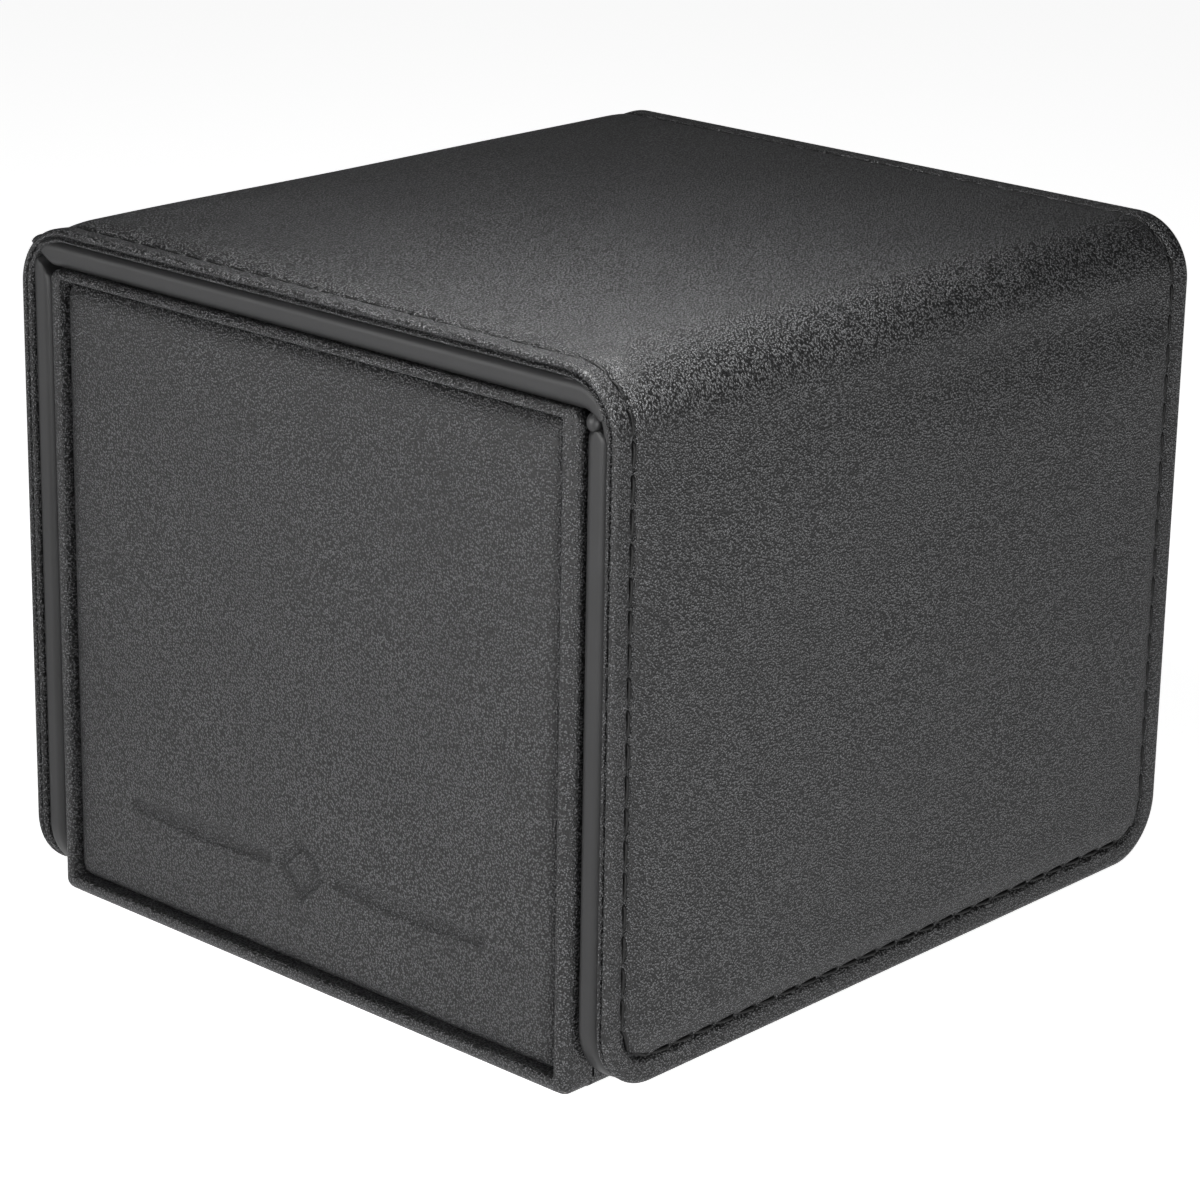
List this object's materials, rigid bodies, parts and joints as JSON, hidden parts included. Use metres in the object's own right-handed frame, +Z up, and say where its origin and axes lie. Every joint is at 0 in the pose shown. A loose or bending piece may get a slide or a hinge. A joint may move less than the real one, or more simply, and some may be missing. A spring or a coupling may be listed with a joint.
{
  "type": "card deck box",
  "caption": "Rigid box for a deck of sleeved trading cards, inside a leather-look cover whose lid and side flap fold open and shut with magnets.",
  "frame": {"origin": "middle of the footprint, on the resting plane", "axes": "-Y towards the padded front panel, +X towards the closure flap, -X towards the glued leg, +Z up; the folds run along Y"},
  "size_m": [0.097, 0.105, 0.0845],
  "materials": {
    "black_leatherette": "fine pebble grain, low sheen",
    "smooth_lining": "smooth soft-touch polyurethane, matte",
    "microfibre": "short brushed nap",
    "greyboard": "raw board",
    "thread": "twisted polyester thread",
    "magnet_steel": "nickel plated",
    "bond_foam": "double-sided foam adhesive"
  },
  "bodies": {
    "box": {"floor_board": "greyboard", "left_wall_board": "greyboard", "right_wall_board": "greyboard", "front_wall_board": "greyboard", "rear_wall_board": "greyboard", "front_rim_strip": "greyboard", "rear_rim_strip": "greyboard", "box_wrap": "black_leatherette", "base_sheet": "black_leatherette", "front_panel_board": "greyboard", "front_panel_cover": "black_leatherette", "rear_panel_board": "greyboard", "rear_panel_cover": "black_leatherette", "floor_felt": "microfibre", "left_felt": "microfibre", "right_felt": "microfibre", "front_felt": "microfibre", "rear_felt": "microfibre", "box_magnets": "magnet_steel", "leg_bond": "bond_foam", "leg_skin": "black_leatherette", "leg_board": "greyboard", "leg_pad": "smooth_lining", "leg_thread": "thread", "left_fold": "black_leatherette", "left_fold_thread": "thread"},
    "lid": {"top_skin": "black_leatherette", "top_board": "greyboard", "top_pad": "smooth_lining", "top_thread": "thread", "right_fold": "black_leatherette", "right_fold_thread": "thread"},
    "flap": {"flap_skin": "black_leatherette", "flap_board": "greyboard", "flap_pad": "smooth_lining", "flap_magnets": "magnet_steel", "flap_thread": "thread"}
  },
  "joints": [
    {"name": "lid_hinge", "type": "hinge", "parent": "box", "child": "lid", "pos_m": [-0.04621, 0, 0.08221], "axis": [0, -1, 0], "range_deg": [0, 180], "deforming": ["left_fold", "left_fold_thread"]},
    {"name": "flap_hinge", "type": "hinge", "parent": "lid", "child": "flap", "pos_m": [0.04621, 0, 0.08221], "axis": [0, -1, 0], "range_deg": [0, 180], "deforming": ["right_fold", "right_fold_thread"]}
  ]
}
